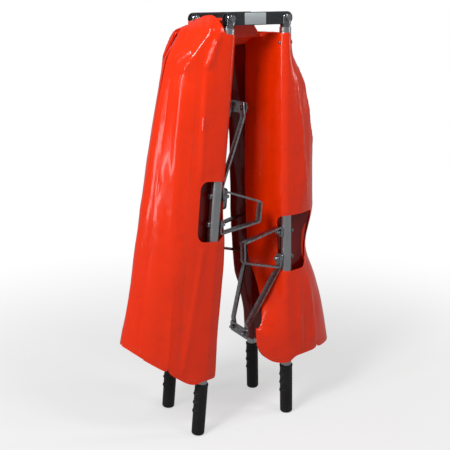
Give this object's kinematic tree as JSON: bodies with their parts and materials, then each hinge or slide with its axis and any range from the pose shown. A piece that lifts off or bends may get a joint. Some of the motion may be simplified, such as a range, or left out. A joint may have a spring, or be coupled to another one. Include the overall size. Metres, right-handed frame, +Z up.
{
  "type": "folding stretcher",
  "caption": "Pole stretcher that folds at mid length and closes in width, with glossy orange cover, bent steel feet, spreader arms and black grips, standing folded on its handles.",
  "frame": {"origin": "on the ground, under the middle of the folded stretcher", "axes": "+Z up, X along the hinge bars towards the right half, +Y from the front poles to the back poles"},
  "size_m": [0.6296, 0.1998, 0.98],
  "materials": {
    "aluminium_tube": "satin",
    "dark_chrome": "polished dark",
    "bar_paint": "semi-gloss black",
    "zinc_steel": "zinc plated",
    "grip_rubber": "matt",
    "cover_vinyl": "vinyl-coated cloth, glossy",
    "blank_plate": "satin"
  },
  "bodies": {
    "front_bar": {"hinge_bar_front": "bar_paint", "bar_label_front": "blank_plate", "hinge_bolt_front_left": "zinc_steel", "hinge_bolt_front_right": "zinc_steel"},
    "back_bar": {"hinge_bar_back": "bar_paint", "hinge_bolt_back_left": "zinc_steel", "hinge_bolt_back_right": "zinc_steel"},
    "pole_front_left": {"pole_front_left": "aluminium_tube", "knuckle_front_left": "dark_chrome", "handle_front_left": "grip_rubber", "sleeve_front_left": "cover_vinyl", "foot_front_left": "zinc_steel", "foot_bolt_upper_front_left": "zinc_steel", "foot_bolt_lower_front_left": "zinc_steel"},
    "pole_front_right": {"pole_front_right": "aluminium_tube", "knuckle_front_right": "dark_chrome", "handle_front_right": "grip_rubber", "sleeve_front_right": "cover_vinyl", "foot_front_right": "zinc_steel", "foot_bolt_upper_front_right": "zinc_steel", "foot_bolt_lower_front_right": "zinc_steel"},
    "pole_back_left": {"pole_back_left": "aluminium_tube", "knuckle_back_left": "dark_chrome", "handle_back_left": "grip_rubber", "sleeve_back_left": "cover_vinyl", "foot_back_left": "zinc_steel", "foot_bolt_upper_back_left": "zinc_steel", "foot_bolt_lower_back_left": "zinc_steel"},
    "pole_back_right": {"pole_back_right": "aluminium_tube", "knuckle_back_right": "dark_chrome", "handle_back_right": "grip_rubber", "sleeve_back_right": "cover_vinyl", "foot_back_right": "zinc_steel", "foot_bolt_upper_back_right": "zinc_steel", "foot_bolt_lower_back_right": "zinc_steel"},
    "arm_front_left": {"spreader_arm_front_left": "zinc_steel"},
    "cover_wing_front_left": {"cover_wing_front_left": "cover_vinyl"},
    "arm_back_left": {"spreader_arm_back_left": "zinc_steel"},
    "cover_wing_back_left": {"cover_wing_back_left": "cover_vinyl"},
    "plate_left": {"spreader_plate_left": "zinc_steel", "plate_bolt_front_left": "zinc_steel", "plate_bolt_back_left": "zinc_steel"},
    "cover_strip_left": {"cover_strip_left": "cover_vinyl"},
    "arm_front_right": {"spreader_arm_front_right": "zinc_steel"},
    "cover_wing_front_right": {"cover_wing_front_right": "cover_vinyl"},
    "arm_back_right": {"spreader_arm_back_right": "zinc_steel"},
    "cover_wing_back_right": {"cover_wing_back_right": "cover_vinyl"},
    "plate_right": {"spreader_plate_right": "zinc_steel", "plate_bolt_front_right": "zinc_steel", "plate_bolt_back_right": "zinc_steel"},
    "cover_strip_right": {"cover_strip_right": "cover_vinyl"},
    "crossing_1": {"cover_crossing_1": "cover_vinyl"},
    "crossing_2": {"cover_crossing_2": "cover_vinyl"},
    "crossing_3": {"cover_crossing_3": "cover_vinyl"},
    "crossing_4": {"cover_crossing_4": "cover_vinyl"},
    "crossing_5": {"cover_crossing_5": "cover_vinyl"},
    "crossing_6": {"cover_crossing_6": "cover_vinyl"}
  },
  "joints": [
    {"name": "fold_left", "type": "hinge", "parent": "front_bar", "child": "pole_front_left", "pos_m": [-0.04559, -0.083, 0.96307], "axis": [0, 1, 0], "range_deg": [-6.1, 83.8]},
    {"name": "fold_right", "type": "hinge", "parent": "front_bar", "child": "pole_front_right", "pos_m": [0.09738, -0.083, 0.96596], "axis": [0, -1, 0], "range_deg": [0, 89.8]},
    {"name": "fold_left_back", "type": "hinge", "parent": "pole_back_left", "child": "back_bar", "pos_m": [-0.04559, 0.083, 0.96307], "axis": [0, 1, 0], "range_deg": [-84.3, 6.6]},
    {"name": "fold_right_back", "type": "hinge", "parent": "back_bar", "child": "pole_back_right", "pos_m": [0.09738, 0.083, 0.96596], "axis": [0, -1, 0], "range_deg": [-0.5, 90.3]},
    {"name": "spread", "type": "hinge", "parent": "pole_front_left", "child": "cover_wing_front_left", "pos_m": [-0.04559, -0.083, 0.96307], "axis": [-0.0885, 0, -0.9961], "range_deg": [0, 74]},
    {"name": "cover_strip_left_turn", "type": "hinge", "parent": "cover_wing_front_left", "child": "cover_strip_left", "pos_m": [-0.24244, -0.0285, 0.98057], "axis": [-0.0885, 0, -0.9961], "range_deg": [-74.5, 0.5]},
    {"name": "cover_wing_back_left_turn", "type": "hinge", "parent": "cover_strip_left", "child": "cover_wing_back_left", "pos_m": [-0.24244, 0.0285, 0.98057], "axis": [-0.0885, 0, -0.9961], "range_deg": [-74.5, 0.5]},
    {"name": "pole_back_left_turn", "type": "hinge", "parent": "cover_wing_back_left", "child": "pole_back_left", "pos_m": [-0.04559, 0.083, 0.96307], "axis": [-0.0885, 0, -0.9961], "range_deg": [-0.5, 74.5]},
    {"name": "cover_wing_front_right_turn", "type": "hinge", "parent": "pole_front_right", "child": "cover_wing_front_right", "pos_m": [0.09738, -0.083, 0.96596], "axis": [-0.0234, 0, 0.9997], "range_deg": [-0.5, 74.5]},
    {"name": "cover_strip_right_turn", "type": "hinge", "parent": "cover_wing_front_right", "child": "cover_strip_right", "pos_m": [0.29495, -0.0285, 0.97058], "axis": [-0.0234, 0, 0.9997], "range_deg": [-74.5, 0.5]},
    {"name": "cover_wing_back_right_turn", "type": "hinge", "parent": "cover_strip_right", "child": "cover_wing_back_right", "pos_m": [0.29495, 0.0285, 0.97058], "axis": [-0.0234, 0, 0.9997], "range_deg": [-74.5, 0.5]},
    {"name": "arm_front_left_turn", "type": "hinge", "parent": "pole_front_left", "child": "arm_front_left", "pos_m": [-0.08012, -0.083, 0.5746], "axis": [-0.9961, 0, 0.0885], "range_deg": [-0.5, 74.5]},
    {"name": "plate_left_turn", "type": "hinge", "parent": "arm_front_left", "child": "plate_left", "pos_m": [-0.06262, -0.0285, 0.77145], "axis": [-0.9961, 0, 0.0885], "range_deg": [-74.5, 0.5]},
    {"name": "arm_back_left_turn", "type": "hinge", "parent": "pole_back_left", "child": "arm_back_left", "pos_m": [-0.08012, 0.083, 0.5746], "axis": [0.9961, 0, -0.0885], "range_deg": [-0.5, 74.5]},
    {"name": "arm_front_right_turn", "type": "hinge", "parent": "pole_front_right", "child": "arm_front_right", "pos_m": [0.11047, -0.083, 0.40661], "axis": [0.9997, 0, 0.0234], "range_deg": [-0.5, 74.5]},
    {"name": "plate_right_turn", "type": "hinge", "parent": "arm_front_right", "child": "plate_right", "pos_m": [0.11509, -0.0285, 0.20904], "axis": [0.9997, 0, 0.0234], "range_deg": [-74.5, 0.5]},
    {"name": "arm_back_right_turn", "type": "hinge", "parent": "pole_back_right", "child": "arm_back_right", "pos_m": [0.11047, 0.083, 0.40661], "axis": [-0.9997, 0, -0.0234], "range_deg": [-0.5, 74.5]},
    {"name": "crossing_1_turn", "type": "hinge", "parent": "front_bar", "child": "crossing_1", "pos_m": [0.0259, -0.0545, 0.96451], "axis": [0.9998, 0, 0.0202], "range_deg": [-0.5, 74.5]},
    {"name": "crossing_2_turn", "type": "hinge", "parent": "crossing_1", "child": "crossing_2", "pos_m": [0.02691, -0.04068, 0.91439], "axis": [0.9998, 0, 0.0202], "range_deg": [-148.5, 0.5]},
    {"name": "crossing_3_turn", "type": "hinge", "parent": "crossing_2", "child": "crossing_3", "pos_m": [0.02559, -0.0226, 0.97993], "axis": [0.9998, 0, 0.0202], "range_deg": [-0.5, 148.5]},
    {"name": "crossing_4_turn", "type": "hinge", "parent": "crossing_3", "child": "crossing_4", "pos_m": [0.02724, 0, 0.89801], "axis": [0.9998, 0, 0.0202], "range_deg": [-148.5, 0.5]},
    {"name": "crossing_5_turn", "type": "hinge", "parent": "crossing_4", "child": "crossing_5", "pos_m": [0.02559, 0.0226, 0.97993], "axis": [0.9998, 0, 0.0202], "range_deg": [-0.5, 148.5]},
    {"name": "crossing_6_turn", "type": "hinge", "parent": "crossing_5", "child": "crossing_6", "pos_m": [0.02691, 0.04068, 0.91439], "axis": [0.9998, 0, 0.0202], "range_deg": [-148.5, 0.5]}
  ],
  "couplings": [
    {"joint": "fold_left_back", "follows": "fold_left", "ratio": -1},
    {"joint": "fold_right_back", "follows": "fold_right", "ratio": 1},
    {"joint": "cover_strip_left_turn", "follows": "spread", "ratio": -1},
    {"joint": "cover_wing_back_left_turn", "follows": "spread", "ratio": -1},
    {"joint": "pole_back_left_turn", "follows": "spread", "ratio": 1},
    {"joint": "cover_wing_front_right_turn", "follows": "spread", "ratio": 1},
    {"joint": "cover_strip_right_turn", "follows": "spread", "ratio": -1},
    {"joint": "cover_wing_back_right_turn", "follows": "spread", "ratio": -1},
    {"joint": "arm_front_left_turn", "follows": "spread", "ratio": 1},
    {"joint": "plate_left_turn", "follows": "spread", "ratio": -1},
    {"joint": "arm_back_left_turn", "follows": "spread", "ratio": 1},
    {"joint": "arm_front_right_turn", "follows": "spread", "ratio": 1},
    {"joint": "plate_right_turn", "follows": "spread", "ratio": -1},
    {"joint": "arm_back_right_turn", "follows": "spread", "ratio": 1},
    {"joint": "crossing_1_turn", "follows": "spread", "ratio": 1},
    {"joint": "crossing_2_turn", "follows": "spread", "ratio": -2},
    {"joint": "crossing_3_turn", "follows": "spread", "ratio": 2},
    {"joint": "crossing_4_turn", "follows": "spread", "ratio": -2},
    {"joint": "crossing_5_turn", "follows": "spread", "ratio": 2},
    {"joint": "crossing_6_turn", "follows": "spread", "ratio": -2}
  ]
}
